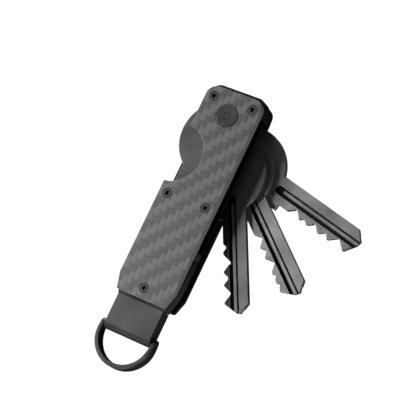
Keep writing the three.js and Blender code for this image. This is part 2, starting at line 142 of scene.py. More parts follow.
TAB_HALF, TAB_TOP, TAB_LOW, TAB_HIGH, TAB_ROUND_Y = 7.72, -58.55, 5.9, 10.3, -67.1
TONGUE_HALF, TONGUE_TOP, TONGUE_LOW, TONGUE_HIGH = 6.5, -50.1, 7.0, 9.54
TONGUE_SLOT, TONGUE_SLOT_END = 1.1, -56.6
PIN_Y, PIN_Z, PIN_RADIUS, PIN_HALF, PIN_PLAY = -67.9, 8.1, 0.75, 9.3, 0.06
RING_OUTER, RING_INNER, RING_CENTRE_Y, RING_LOW, RING_HIGH = 9.35, 7.95, -69.3, 6.3, 10.0
RING_EYE, RING_FULL_Y, RING_BEVEL = 1.4, -72.0, 0.32
SPRING_RADIUS, SPRING_WIRE, SPRING_IN, SPRING_TURNS, SPRING_KEEP = 0.85, 0.16, 4.2, 5, 0.87
BUTTON_IN, BUTTON_OUT, BUTTON_TOP, BUTTON_BOTTOM, BUTTON_LOW, BUTTON_HIGH = 7.95, 9.5, -41.9, -48.9, 7.0, 9.54


# ---- outlines ----------------------------------------------------------------------------
def arc(x, y, radius, start, end, steps):
    """Points on an arc from one angle to another, in radians, both ends included."""
    return [
        (x + radius * math.cos(start + (end - start) * i / steps),
         y + radius * math.sin(start + (end - start) * i / steps))
        for i in range(steps + 1)
    ]


def circle(x, y, radius, steps=64, turn=0.0):
    """A closed circle, anticlockwise, without a repeated point."""
    return arc(x, y, radius, turn, turn + 2 * math.pi, steps)[:-1]


def box_outline(x0, y0, x1, y1):
    """A rectangle, anticlockwise from its lowest corner."""
    return [(x0, y0), (x1, y0), (x1, y1), (x0, y1)]


def case_outline(inset=0.0, top_lip=0.0, bottom_lip=0.0, notched=False):
    """The case, anticlockwise: rounded at the pivot end, narrowed at the bottom corners."""
    half = HALF_WIDTH - inset
    bottom_half = BOTTOM_HALF_WIDTH - inset
    top = TOP + top_lip
    bottom = BOTTOM - bottom_lip
    radius = CORNER_RADIUS
    points = [(-bottom_half, bottom), (bottom_half, bottom), (half, CHAMFER_Y)]
    points += arc(half - radius, top - radius, radius, 0, math.pi / 2, 14)
    points += arc(-half + radius, top - radius, radius, math.pi / 2, math.pi, 14)
    if notched:
        entry = math.acos((-half - NOTCH_X) / NOTCH_RADIUS)
        leave = -math.acos((NOTCH_LIP_X - NOTCH_X) / NOTCH_RADIUS)
        points += arc(NOTCH_X, NOTCH_Y, NOTCH_RADIUS, entry, leave, 48)
        lip_y = NOTCH_Y + NOTCH_RADIUS * math.sin(leave)
        points += arc(-half + NOTCH_ROUND, lip_y - NOTCH_ROUND, NOTCH_ROUND, math.pi / 2, math.pi, 6)
    points.append((-half, CHAMFER_Y))
    return points


def region(polygons, keep):
    """The outline of the area where keep() is true of the polygons that cover it."""
    points = []
    faces = []
    for polygon in polygons:
        faces.append(list(range(len(points), len(points) + len(polygon))))
        points += [Vector(p) for p in polygon]
    verts, _, triangles, _, _, sources = delaunay_2d_cdt(points, [], faces, 1, 1e-4)
    directed = set()
    for triangle, source in zip(triangles, sources):
        if keep(set(source)):
            directed |= {(a, b) for a, b in zip(triangle, triangle[1:] + triangle[:1])}
    following = {a: b for a, b in directed if (b, a) not in directed}
    start = min(following, key=lambda i: verts[i].x)
    loop = [start]
    while following[loop[-1]] != start:
        loop.append(following[loop[-1]])
    return tidy([tuple(verts[i]) for i in loop])


def tidy(points, least=0.02):
    """Drops points that nearly repeat the one before."""
    kept = [points[0]]
    for point in points[1:]:
        if math.dist(point, kept[-1]) > least:
            kept.append(point)
    if math.dist(kept[0], kept[-1]) <= least:
        kept.pop()
    return kept


def shifted(points, distance):
    """Moves a loop of points to its left by a distance, with mitred corners."""
    moved = []
    for i, (x, y) in enumerate(points):
        before = Vector((x - points[i - 1][0], y - points[i - 1][1])).normalized()
        ahead = points[(i + 1) % len(points)]
        after = Vector((ahead[0] - x, ahead[1] - y)).normalized()
        middle = (before + after).normalized()
        stretch = 1 / max(0.45, middle.dot(before))
        moved.append((x - middle.y * distance * stretch, y + middle.x * distance * stretch))
    return moved


# ---- solids ------------------------------------------------------------------------------
def rounded_profile(low, high, bevel, steps=3):
    """Distances into the material and heights, from the bottom face to the top face."""
    turn = [math.pi / 2 * i / steps for i in range(steps + 1)]
    bottom = [(bevel * (1 - math.sin(a)), low + bevel * (1 - math.cos(a))) for a in turn]
    top = [(bevel * (1 - math.cos(a)), high - bevel * (1 - math.sin(a))) for a in turn]
    return bottom + top


def seat_profile(low, high, seat_floor, step, bevel):
    """A screw hole with a wider seat above seat_floor."""
    return [(0, low), (0, seat_floor), (step, seat_floor)] + [
        (step + offset, z) for offset, z in rounded_profile(low, high, bevel) if z >= high - bevel
    ]


def pocket_profile(floor, high, bevel):
    """A straight-sided pocket with a small chamfer at its mouth."""
    return [(0, floor), (0, high - bevel), (bevel, high)]


def add_plate(bm, outline, profile, holes=(), pockets=()):
    """Adds an extruded outline. Holes and pockets are (loop, profile); a pocket has a floor."""
    caps = {"low": [], "high": []}
    for loop, steps, kind in (
        [(outline, profile, "outer")]
        + [(list(reversed(h)), p, "hole") for h, p in holes]
        + [(list(reversed(h)), p, "pocket") for h, p in pockets]
    ):
        rings = [[bm.verts.new((x, y, z)) for x, y in shifted(loop, d)] for d, z in steps]
        for lower, upper in zip(rings, rings[1:]):
            for i, vert in enumerate(lower):
                bm.faces.new((lower[i - 1], vert, upper[i], upper[i - 1]))
        if kind == "pocket":
            bm.faces.new(rings[0])
        else:
            caps["low"].append(rings[0])
        caps["high"].append(rings[-1])
    for loops in caps.values():
        verts = [v for loop in loops for v in loop]
        for triangle in tessellate_polygon([[v.co for v in loop] for loop in loops]):
            bm.faces.new([verts[i] for i in triangle])


def skin(bm, rings):
    """Joins equal rings of points into a tube with closed ends."""
    for one, two in zip(rings, rings[1:]):
        for i in range(len(one)):
            bm.faces.new((one[i - 1], one[i], two[i], two[i - 1]))
    bm.faces.new(rings[0])
    bm.faces.new(rings[-1])


def make(name, bm, body, material, replaces, across=None):
    """Turns a mesh in millimetres from the pivot axis into a finished piece."""
    bmesh.ops.recalc_face_normals(bm, faces=bm.faces)
    mesh = bpy.data.meshes.new(name)
    bm.to_mesh(mesh)
    bm.free()
    if across is not None:
        mesh.transform(across)
    mesh.transform(Matrix.Scale(MM, 4) @ Matrix.Translation((0, PIVOT_Y, 0)))
    mesh.materials.append(material)
    piece = bpy.data.objects.new(name, mesh)
    bpy.context.scene.collection.objects.link(piece)
    finish_surface(piece)
    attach(piece, body)
    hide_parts(*replaces)
    return piece


def finish_surface(piece):
    """Keeps flat faces flat, and turns rounded edges smoothly into them."""
    mesh = piece.data
    limit = math.cos(math.radians(SHARP_ANGLE))
    around = [[] for _ in mesh.vertices]
    for polygon in mesh.polygons:
        polygon.use_smooth = True
        for corner in polygon.vertices:
            around[corner].append(polygon)
    normals = []
    for polygon in mesh.polygons:
        for corner in polygon.vertices:
            near = [p for p in around[corner] if p.normal.dot(polygon.normal) > limit]
            flat = [p for p in near if max(abs(n) for n in p.normal) > SQUARE_ON]
            total = sum((p.normal * p.area for p in flat or near), Vector())
            normals.append((total if total.length > 0 else polygon.normal).normalized())
    mesh.normals_split_custom_set(normals)


def cut(piece, cutters):
    """Cuts closed meshes out of a piece, for good. Each comes with the material for its faces."""
    for bm, material in cutters:
        bmesh.ops.recalc_face_normals(bm, faces=bm.faces)
        mesh = bpy.data.meshes.new("cutter")
        bm.to_mesh(mesh)
        bm.free()
        mesh.transform(Matrix.Scale(MM, 4) @ Matrix.Translation((0, PIVOT_Y, 0)))
        mesh.materials.append(material)
        tool = bpy.data.objects.new("cutter", mesh)
        bpy.context.scene.collection.objects.link(tool)
        boolean = piece.modifiers.new("cut", "BOOLEAN")
        boolean.operation = "DIFFERENCE"
        boolean.solver = "EXACT"
        boolean.object = tool
        boolean.material_mode = "TRANSFER"
        evaluated = piece.evaluated_get(bpy.context.evaluated_depsgraph_get())
        result = bpy.data.meshes.new_from_object(evaluated)
        piece.modifiers.remove(boolean)
        piece.data = result
        bpy.data.objects.remove(tool)
    finish_surface(piece)


def crosswise_cylinder(y, z, radius, half_length, steps=32):
    """A closed cylinder along X, for cutting."""
    bm = bmesh.new()
    bmesh.ops.create_cone(
        bm, cap_ends=True, segments=steps, radius1=radius, radius2=radius, depth=2 * half_length,
        matrix=Matrix.Translation((0, y, z)) @ Matrix.Rotation(math.pi / 2, 4, "Y"),
    )
    return bm


# ---- materials ---------------------------------------------------------------------------
class Nodes:
    """Builds a material's node tree by short calls."""

    def __init__(self, name, roughness, metallic=0.0):
        self.material = bpy.data.materials.new(name)
        self.material.use_nodes = True
        self.tree = self.material.node_tree
        self.shader = self.tree.nodes["Principled BSDF"]
        self.shader.inputs["Roughness"].default_value = roughness
        self.shader.inputs["Metallic"].default_value = metallic
        self.place = self.tree.nodes.new("ShaderNodeTexCoord").outputs["Object"]

    def put(self, source, target):
        """Links a socket, or sets a number."""
        if hasattr(source, "links"):
            self.tree.links.new(source, target)
        else:
            target.default_value = source

    def math(self, operation, a, b=0.0, c=0.0):
        node = self.tree.nodes.new("ShaderNodeMath")
        node.operation = operation
        for value, target in zip((a, b, c), node.inputs):
            self.put(value, target)
        return node.outputs[0]

    def remap(self, value, low, high, to_low, to_high):
        node = self.tree.nodes.new("ShaderNodeMapRange")
        for source, target in zip((value, low, high, to_low, to_high), node.inputs):
            self.put(source, target)
        return node.outputs[0]

    def mapped(self, scale=(1, 1, 1), turn=0.0):
        node = self.tree.nodes.new("ShaderNodeMapping")
        self.tree.links.new(self.place, node.inputs["Vector"])
        node.inputs["Rotation"].default_value = (0, 0, turn)
        node.inputs["Scale"].default_value = scale
        return node.outputs[0]

    def noise(self, vector, scale, detail=3.0, roughness=0.5):
        node = self.tree.nodes.new("ShaderNodeTexNoise")
        self.tree.links.new(vector, node.inputs["Vector"])
        node.inputs["Scale"].default_value = scale
        node.inputs["Detail"].default_value = detail
        node.inputs["Roughness"].default_value = roughness
        return node.outputs[0]

    def colour(self, factor, dark, light):
        node = self.tree.nodes.new("ShaderNodeMix")
        node.data_type = "RGBA"
        self.put(factor, node.inputs[0])
        node.inputs[6].default_value = (*dark, 1)
        node.inputs[7].default_value = (*light, 1)
        return node.outputs[2]

    def bump(self, height, distance, strength=1.0):
        node = self.tree.nodes.new("ShaderNodeBump")
        node.inputs["Strength"].default_value = strength
        node.inputs["Distance"].default_value = distance
        self.tree.links.new(height, node.inputs["Height"])
        self.tree.links.new(node.outputs[0], self.shader.inputs["Normal"])

    def base(self, colour):
        self.tree.links.new(colour, self.shader.inputs["Base Color"])

    def rough(self, value):
        self.tree.links.new(value, self.shader.inputs["Roughness"])


def grey(value):
    return (value, value, value)


TOW_X, TOW_Y = 1.552, 1.906       # width of one tow along each way of the weave
WEAVE_X, WEAVE_Y = 0.261, 0.292   # where a tow begins
WEAVE_SKEW = 0.012
# The third number lifts the lengthwise tows: painted sheen, standing in for the light their fibres reflect.
CARBON_DARK, CARBON_LIGHT, LENGTHWISE_PAINTED_SHEEN = 0.045, 0.105, 0.7


def carbon_material():
    """Two-by-two twill: each tow passes over two and under two, stepping one at a time."""
    n = Nodes("carbon_fibre", 0.42)
    separate = n.tree.nodes.new("ShaderNodeSeparateXYZ")
    n.tree.links.new(n.place, separate.inputs[0])
    x, y = separate.outputs[0], separate.outputs[1]
    across = n.math("DIVIDE", n.math("SUBTRACT", x, WEAVE_X * MM), TOW_X * MM)
    skewed = n.math("SUBTRACT", y, n.math("MULTIPLY", x, WEAVE_SKEW))
    along = n.math("DIVIDE", n.math("SUBTRACT", skewed, WEAVE_Y * MM), TOW_Y * MM)
    column, row = n.math("FLOOR", across), n.math("FLOOR", along)
    in_column, in_row = n.math("FRACT", across), n.math("FRACT", along)
    phase = n.math("FLOORED_MODULO", n.math("SUBTRACT", row, column), 4.0)
    lengthwise = n.math("LESS_THAN", phase, 1.5)
    crosswise = n.math("SUBTRACT", 1.0, lengthwise)

    run_up = n.math("MULTIPLY", n.math("ADD", phase, in_row), 0.5)
    run_over = n.math("MULTIPLY", n.math("ADD", n.math("SUBTRACT", 3.0, phase), in_column), 0.5)

    def chosen(when_lengthwise, when_crosswise):
        """One value where the lengthwise tow is on top, the other where the crosswise one is."""
        return n.math("ADD", n.math("MULTIPLY", lengthwise, when_lengthwise),
                      n.math("MULTIPLY", crosswise, when_crosswise))

    def crown(value):
        """Rises from nothing at both ends of a tow's run to a broad flat middle."""
        centred = n.math("SUBTRACT", n.math("MULTIPLY", value, 2.0), 1.0)
        return n.math("SUBTRACT", 1.0, n.math("POWER", n.math("ABSOLUTE", centred), 4.0))

    rise = n.math("MULTIPLY", crown(chosen(run_up, run_over)), crown(chosen(in_column, in_row)))
    strands = chosen(n.noise(n.mapped((9000, 350, 350)), 1.0, 4.0, 0.6),
                     n.noise(n.mapped((350, 9000, 350)), 1.0, 4.0, 0.6))
    patches = n.noise(n.mapped(), 420.0, 2.0)
    # Painted sheen and shade: the lengthwise tows are lighter, and each tow is lighter on its crown and
    # darker towards its edges and the ends of its run, where it dips under the next.
    tone = n.math("ADD", n.math("MULTIPLY", lengthwise, LENGTHWISE_PAINTED_SHEEN), n.math("MULTIPLY", rise, 0.16))
    tone = n.math("ADD", tone, n.math("MULTIPLY", n.math("SUBTRACT", strands, 0.5), 0.55))
    tone = n.math("ADD", tone, n.math("MULTIPLY", n.math("SUBTRACT", patches, 0.5), 0.5))
    n.base(n.colour(tone, grey(CARBON_DARK), grey(CARBON_LIGHT)))
    n.rough(n.remap(strands, 0.3, 0.7, 0.36, 0.5))
    n.bump(n.math("ADD", rise, n.math("MULTIPLY", strands, 0.25)), 0.00004, 0.35)
    n.shader.inputs["Coat Weight"].default_value = 0.15
    n.shader.inputs["Coat Roughness"].default_value = 0.3
    return n.material


def coated_material(name, dark, light, roughness, metallic, grain, depth, specular=0.5):
    """Coated or anodised metal: a fine blasted grain with faint cloudy variation."""
    n = Nodes(name, roughness, metallic)
    n.shader.inputs["Specular IOR Level"].default_value = specular
    clouds = n.noise(n.mapped(), 160.0, 3.0)
    fine = n.noise(n.mapped(), grain, 2.0, 0.6)
    tone = n.math("ADD", n.math("MULTIPLY", clouds, 0.6), n.math("MULTIPLY", fine, 0.4))
    n.base(n.colour(n.remap(tone, 0.3, 0.7, 0.0, 1.0), dark, light))
    n.rough(n.remap(clouds, 0.3, 0.7, roughness - 0.05, roughness + 0.06))
    n.bump(fine, depth, 0.35)
    return n.material


def key_material(name, key, tone_low, tone_high, cut_strip_shade=1.0):
    """Dark plated key blank, brushed down the blade; the last argument darkens the strip with the cuts as
    painted shade.
    """
    n = Nodes(name, 0.4, 0.85)
    turn = math.radians(-key["angle"])
    brushed = n.noise(n.mapped((260, 5200, 260), turn), 1.0, 4.0, 0.65)
    clouds = n.noise(n.mapped(), 130.0, 3.0)
    scuffs = n.noise(n.mapped((3000, 420, 420), turn), 1.0, 2.0)
    tone = n.math("ADD", n.math("MULTIPLY", brushed, 0.55), n.math("MULTIPLY", clouds, 0.45))
    plated = n.colour(n.remap(tone, 0.32, 0.68, 0.0, 1.0), grey(tone_low), grey(tone_high))
    # Painted shade: the strip beyond the main groove, on the side of the cuts, is darkened from just past the
    # groove's start out to the tip.
    if cut_strip_shade < 1:
        spot = n.tree.nodes.new("ShaderNodeSeparateXYZ")
        n.tree.links.new(n.mapped(turn=turn), spot.inputs[0])
        strip = key["back"] - FRONT_GROOVES[1][1] + PIVOT_Y * math.cos(turn)
        blade = GROOVE_START - PIVOT_Y * math.sin(turn)
        beyond = n.remap(spot.outputs[1], (strip + 0.1) * MM, (strip - 0.2) * MM, 0.0, 1.0)
        along = n.remap(spot.outputs[0], blade * MM, (blade + 3) * MM, 0.0, 1.0)
        shade = n.math("MULTIPLY", beyond, along)
        dark = n.colour(shade, (1, 1, 1), grey(cut_strip_shade))
        mix = n.tree.nodes.new("ShaderNodeMix")
        mix.data_type = "RGBA"
        mix.blend_type = "MULTIPLY"
        mix.inputs[0].default_value = 1.0
        n.tree.links.new(plated, mix.inputs[6])
        n.tree.links.new(dark, mix.inputs[7])
        plated = mix.outputs[2]
    n.base(plated)
    n.rough(n.remap(n.math("ADD", clouds, n.math("MULTIPLY", scuffs, 0.4)), 0.4, 0.95, 0.34, 0.48))
    n.bump(brushed, 0.000008, 0.3)
    return n.material


def laminate_edge_painted_light_material():
    """The cut edge of the laminate: matt, with fine lines from its layers. Its grey, well above the face's,
    is painted light on the side band.
    """
    n = Nodes("laminate_edge_painted_light", 0.55)
    layers = n.noise(n.mapped((250, 250, 9000)), 1.0, 2.0)
    n.base(n.colour(n.remap(layers, 0.35, 0.65, 0.0, 1.0), grey(0.17), grey(0.23)))
    n.bump(layers, 0.00002, 0.4)
    return n.material


CARBON = carbon_material()
LAMINATE_EDGE_PAINTED_LIGHT = laminate_edge_painted_light_material()
BLACK_STEEL = coated_material("black_steel", grey(0.009), grey(0.015), 0.3, 0.0, 5200.0, 0.00001, 0.3)
DARK_METAL = coated_material("dark_aluminium", grey(0.031), grey(0.04), 0.42, 0.35, 6000.0, 0.000012)
RING_METAL = coated_material("ring_aluminium", grey(0.016), grey(0.022), 0.4, 0.2, 5000.0, 0.000008)
HOUSING_BLACK = coated_material("housing_black", grey(0.03), grey(0.042), 0.4, 0.0, 4000.0, 0.00001)
# Painted shade: the keys' grooves are near black, far darker than the key metal around them.
GROOVE_PAINTED_SHADE = coated_material("key_groove_painted_shade", grey(0.006), grey(0.01), 0.55, 0.0, 4000.0, 0.00001, 0.1)
PIVOT_METAL = coated_material("pivot_metal", grey(0.022), grey(0.03), 0.42, 0.35, 6000.0, 0.000012)
SCREW_STEEL = coated_material("screw_steel", grey(0.022), grey(0.032), 0.5, 0.3, 5200.0, 0.000008)
SPRING_STEEL = coated_material("spring_steel", grey(0.35), grey(0.45), 0.3, 1.0, 5200.0, 0.000005)
NYLON = coated_material("washer_nylon", grey(0.025), grey(0.035), 0.55, 0.0, 3000.0, 0.00001)


# ---- plates ------------------------------------------------------------------------------
def screw_holes(low, high, bevel, seat_floor=None):
    """Every case screw's hole, with a seat for its head above seat_floor."""
    holes = []
    for x, y in SCREWS.values():
        if seat_floor is None:
            holes.append((circle(x, y, SCREW_HOLE, 32), rounded_profile(low, high, bevel)))
        else:
            holes.append((circle(x, y, SCREW_HOLE, 48),
                          seat_profile(low, high, seat_floor, SCREW_SEAT - SCREW_HOLE, bevel)))
    return holes


def plate(name, outline, low, high, bevel, material, seat_floor=None, head_seat=None):
    """A plate with the case's holes; head_seat is the radius and floor of the pivot head's seat."""
    bm = bmesh.new()
    holes = screw_holes(low, high, 0.06, seat_floor)
    if head_seat:
        radius, floor = head_seat
        holes.append((circle(0, 0, PIVOT_HOLE, 96),
                      seat_profile(low, high, floor, radius - PIVOT_HOLE, 0.08)))
    else:
        holes.append((circle(0, 0, PIVOT_HOLE, 64), rounded_profile(low, high, 0.05)))
    add_plate(bm, tidy(outline), rounded_profile(low, high, bevel), holes)
    return make(name, bm, "case", material, [name])


cover = plate("front_cover", case_outline(notched=True), FRONT_COVER_BOTTOM, FRONT_FACE, 0.12, CARBON,
              FRONT_SEAT_FLOOR, (HEAD_RADIUS + HEAD_SEAT_PLAY, HEAD_SEAT_FLOOR))
# The side faces take the edge material, lighter than the face: painted light on the cover's side band.
cover.data.materials.append(LAMINATE_EDGE_PAINTED_LIGHT)
for polygon in cover.data.polygons:
    if abs(polygon.normal.z) < 0.5:
        polygon.material_index = 1
plate("front_liner", case_outline(top_lip=TOP_LIP, bottom_lip=BOTTOM_LIP, notched=True),
      FRONT_LINER_BOTTOM, FRONT_COVER_BOTTOM, 0.08, BLACK_STEEL)
plate("divider_plate", case_outline(top_lip=TOP_LIP, bottom_lip=BOTTOM_LIP),
      DIVIDER_BOTTOM, DIVIDER_TOP, 0.07, BLACK_STEEL)
plate("rear_liner", case_outline(REAR_INSET, REAR_LIP, REAR_LIP - REAR_SHORT),
      REAR_COVER_TOP, REAR_LINER_TOP, 0.07, BLACK_STEEL)


def rear_cover():
    """The rear cover is built face up and turned over, so that its seats open downwards."""
    outline = case_outline(REAR_INSET, 0.0, -REAR_SHORT)
    bm = bmesh.new()
    holes = []
    for x, y in SCREWS.values():
        holes.append((circle(-x, y, SCREW_HOLE, 40),
                      seat_profile(0, REAR_COVER_TOP, REAR_COVER_TOP - REAR_SEAT_FLOOR,
                                   SCREW_SEAT - SCREW_HOLE, 0.06)))
    holes.append((circle(0, 0, PIVOT_HOLE, 96),
                  seat_profile(0, REAR_COVER_TOP, REAR_COVER_TOP - POST_HEAD_TOP - POST_SEAT_GAP,
                               POST_HEAD_RADIUS + POST_SEAT_PLAY - PIVOT_HOLE, 0.06)))
    add_plate(bm, tidy(outline), rounded_profile(0, REAR_COVER_TOP, 0.15), holes)
    over = Matrix.Translation((0, 0, REAR_COVER_TOP)) @ Matrix.Rotation(math.pi, 4, "Y")
    make("rear_cover", bm, "case", BLACK_STEEL, ["rear_cover"], across=over)


def top_spacer(name, low, high, inset):
    """The closed end wall round the pivot, between two plates."""
    outline = region(
        [case_outline(inset, TOP_LIP, BOTTOM_LIP), box_outline(-20, SPACER_END_Y, 20, 20),
         circle(0, 0, SPACER_HOLLOW, 128)],
        lambda covers: covers == {0, 1},
    )
    bm = bmesh.new()
    holes = [(circle(x, y, SCREW_HOLE, 24), rounded_profile(low, high, 0.04))
             for x, y in LONG_SCREWS.values()]
    add_plate(bm, outline, rounded_profile(low, high, 0.08), holes)
    make(name, bm, "case", BLACK_STEEL, [name])


rear_cover()
top_spacer("top_spacer_rear", REAR_LINER_TOP, DIVIDER_BOTTOM, SPACER_INSET)
top_spacer("top_spacer_front", DIVIDER_TOP, FRONT_LINER_BOTTOM, 0.0)


# ---- keys --------------------------------------------------------------------------------
def blade_outline(key):
    """Plain back edge, a shoulder and angled cuts opposite, a pointed tip; anticlockwise."""
    back, crest = key["back"], key["crest"]
    side = math.copysign(1, back - crest)
    width = abs(back - crest)
    points = [
        (key["bow"][0], back), (key["tip"] - 2.6, back),
        (key["tip"], back - side * width * 0.34), (key["tip"] - 0.3, back - side * width * 0.55),
        (key["point"], crest),
    ]
    for centre, depth in reversed(key["cuts"]):
        run = CUT_FLAT + depth * CUT_SLOPE
        floor = crest + side * depth
        points += [(centre + run, crest), (centre + CUT_FLAT, floor),
                   (centre - CUT_FLAT, floor), (centre - run, crest)]
    along, perp = key["shoulder"]
    points += [(along, crest), (along, perp), (key["bow"][0], perp)]
    return points[::-1] if side > 0 else points


def shoulder_line(key, high):
    """The fine line struck across the neck, where the blade meets the bow."""
    along = key["shoulder"][0] - LINE_BEFORE_SHOULDER
    side = math.copysign(1, key["crest"] - key["back"])
    near, far = sorted((key["back"] + side * 0.4, key["crest"] + side * 2.5))
    bm = bmesh.new()
    add_plate(bm, box_outline(along, near, along + LINE_WIDTH, far),
              [(0, high - LINE_DEPTH), (0, high + 1)])
    bm.transform(Matrix.Rotation(math.radians(key["angle"]), 4, "Z"))
    return bm


def groove_cutter(key, start, end, depth, low, high, top, length=None):
    """A groove down one face: round-ended near the bow, its sides sloping a little."""
    side = math.copysign(1, key["crest"] - key["back"])
    middle = key["back"] + side * (start + end) / 2
    half = (end - start) / 2
    first = min(GROOVE_START, key["tip"] - GROOVE_LENGTH_MIN)
    last = first + length if length else key["tip"] + 5
    loop = arc(first, middle, half, math.pi / 2, 1.5 * math.pi, 12)
    loop += [(last, middle - half), (last, middle + half)]
    if top:
        profile = [(GROOVE_SLOPE, high - depth), (0, high), (-GROOVE_SLOPE, high + 1)]
    else:
        profile = [(-GROOVE_SLOPE, low - 1), (0, low), (GROOVE_SLOPE, low + depth)]
    bm = bmesh.new()
    add_plate(bm, loop, profile)
    bm.transform(Matrix.Rotation(math.radians(key["angle"]), 4, "Z"))
    return bm


def add_key(name, key):
    """A key blank with its cuts, then the grooves and the line across its neck."""
    low, high = key["low"], key["low"] + KEY_THICKNESS
    polygons = [circle(*key["bow"], 144), circle(0, 0, EYE_RADIUS, 72), blade_outline(key)]
    if "trim" in key:
        polygons.append(circle(*key["trim"], 144))
    outline = region(
        polygons,
        lambda covers: bool(covers & {1, 2}) or (0 in covers and ("trim" not in key or 3 in covers)),
    )
    bm = bmesh.new()
    add_plate(bm, outline, rounded_profile(low, high, KEY_BEVEL),
              [(circle(0, 0, PIVOT_HOLE, 64), rounded_profile(low, high, 0.1))])
    turn = Matrix.Rotation(math.radians(key["angle"]), 4, "Z")
    metal = key_material(name + "_metal", key, *KEY_TONES_AND_SHADE[name])
    piece = make(name, bm, name, metal, [name], across=turn)
    start, end, depth = RIDGE_RECESS
    mouth = groove_cutter(key, start, end, FRONT_GROOVES[0][2], low, high, True,
                          RIDGE_START - GROOVE_START)
    cutters = [(groove_cutter(key, start, end, depth, low, high, True), metal), (mouth, GROOVE_PAINTED_SHADE)]
    cutters += [(groove_cutter(key, *groove, low, high, True), GROOVE_PAINTED_SHADE) for groove in FRONT_GROOVES]
    cutters += [(groove_cutter(key, *groove, low, high, False), GROOVE_PAINTED_SHADE) for groove in REAR_GROOVES]
    cutters.append((shoulder_line(key, high), metal))
    cut(piece, cutters)


for key_name, key_data in KEYS.items():
    add_key(key_name, key_data)


# ---- pivot and screws --------------------------------------------------------------------
def pivot_screw():
    """The round head with its six small holes, and the shank."""
    bm = bmesh.new()
    dots = []
    for i in range(SPANNER_COUNT):
        angle = 2 * math.pi * i / SPANNER_COUNT + math.pi / 6
        dots.append((circle(SPANNER_CIRCLE * math.cos(angle), SPANNER_CIRCLE * math.sin(angle),
                            SPANNER_RADIUS, 16),
                     pocket_profile(HEAD_TOP - SPANNER_DEPTH, HEAD_TOP, 0.03)))
    profile = [(0.1, HEAD_BOTTOM), (0, HEAD_BOTTOM + 0.1)] + [
        step for step in rounded_profile(HEAD_BOTTOM, HEAD_TOP, HEAD_BEVEL, 4)
        if step[1] >= HEAD_TOP - HEAD_BEVEL]
    add_plate(bm, circle(0, 0, HEAD_RADIUS, 128), profile, pockets=dots)
    add_plate(bm, circle(0, 0, SHANK_RADIUS, 48), rounded_profile(SHANK_END, HEAD_BOTTOM + 0.1, 0.1))
    make("pivot_screw", bm, "case", PIVOT_METAL, ["pivot_screw"])


def case_screw(name, x, y, face, inner, tip):
    """A socket-head screw. It is built head up and turned over for the rear."""
    bm = bmesh.new()
    up = 1 if face > inner else -1
    head_low, head_high = (inner, face) if up > 0 else (-inner, -face)
    tip_z = tip if up > 0 else -tip
    socket = circle(up * x, y, SOCKET_RADIUS, 6, math.pi / 6)
    add_plate(bm, circle(up * x, y, SCREW_HEAD, 48), rounded_profile(head_low, head_high, 0.16),
              pockets=[(socket, pocket_profile(head_high - SOCKET_DEPTH, head_high, 0.06))])
    add_plate(bm, circle(up * x, y, SCREW_SHANK, 24), rounded_profile(tip_z, head_low + 0.05, 0.03))
    over = None if up > 0 else Matrix.Rotation(math.pi, 4, "Y")
    make(name, bm, "case", SCREW_STEEL, [name], across=over)


pivot_screw()
for spot, (screw_x, screw_y) in SCREWS.items():
    front_tip = FRONT_LONG_TIP if spot in LONG_SCREWS else FRONT_SHORT_TIP
    if spot == "bottom":
        front_tip = DIVIDER_BOTTOM + TIP_GAP
    case_screw("front_screw_" + spot, screw_x, screw_y, FRONT_FACE - FRONT_HEAD_SUNK,
               FRONT_FACE - FRONT_HEAD_INNER, front_tip)
    rear_tip = REAR_LONG_TIP if spot in LONG_SCREWS else REAR_LINER_TOP - TIP_GAP
    case_screw("rear_screw_" + spot, screw_x, screw_y, REAR_HEAD_FACE, REAR_HEAD_INNER, rear_tip)


# ---- tab and ring ------------------------------------------------------------------------
# Turns a plate drawn as (y, z) and raised along X into place.
SIDEWAYS = Matrix(((0, 0, 1, 0), (1, 0, 0, 0), (0, 1, 0, 0), (0, 0, 0, 1)))


def ring_tab():
    """The block with its round lower end, and the slotted tongue that slides in the case."""
    radius = (TAB_HIGH - TAB_LOW) / 2
    middle = (TAB_HIGH + TAB_LOW) / 2
    outline = arc(TAB_ROUND_Y, middle, radius, math.pi / 2, 1.5 * math.pi, 32) + [
        (TAB_TOP, TAB_LOW), (TAB_TOP, TAB_HIGH)]
    bm = bmesh.new()
    add_plate(bm, outline, rounded_profile(-TAB_HALF, TAB_HALF, 0.2, 3),
              [(circle(PIN_Y, PIN_Z, PIN_RADIUS + PIN_PLAY, 32),
                rounded_profile(-TAB_HALF, TAB_HALF, 0.05))])
    bm.transform(SIDEWAYS)
    slot = [(TONGUE_SLOT, TONGUE_TOP), *arc(0, TONGUE_SLOT_END, TONGUE_SLOT, 0, -math.pi, 16),
            (-TONGUE_SLOT, TONGUE_TOP)]
    tongue = [(-TONGUE_HALF, TONGUE_TOP), (-TONGUE_HALF, TAB_TOP - 0.5), (TONGUE_HALF, TAB_TOP - 0.5),
              (TONGUE_HALF, TONGUE_TOP)] + slot
    add_plate(bm, tongue, rounded_profile(TONGUE_LOW, TONGUE_HIGH, 0.06))
    make("ring_tab", bm, "tab", DARK_METAL, ["ring_tab"])


def ring_pin():
    """The pin through the tab and both eyes of the ring."""
    bm = bmesh.new()
    add_plate(bm, circle(PIN_Y, PIN_Z, PIN_RADIUS, 40), rounded_profile(-PIN_HALF, PIN_HALF, 0.12))
    bm.transform(SIDEWAYS)
    make("ring_pin", bm, "tab", SCREW_STEEL, ["ring_pin"])


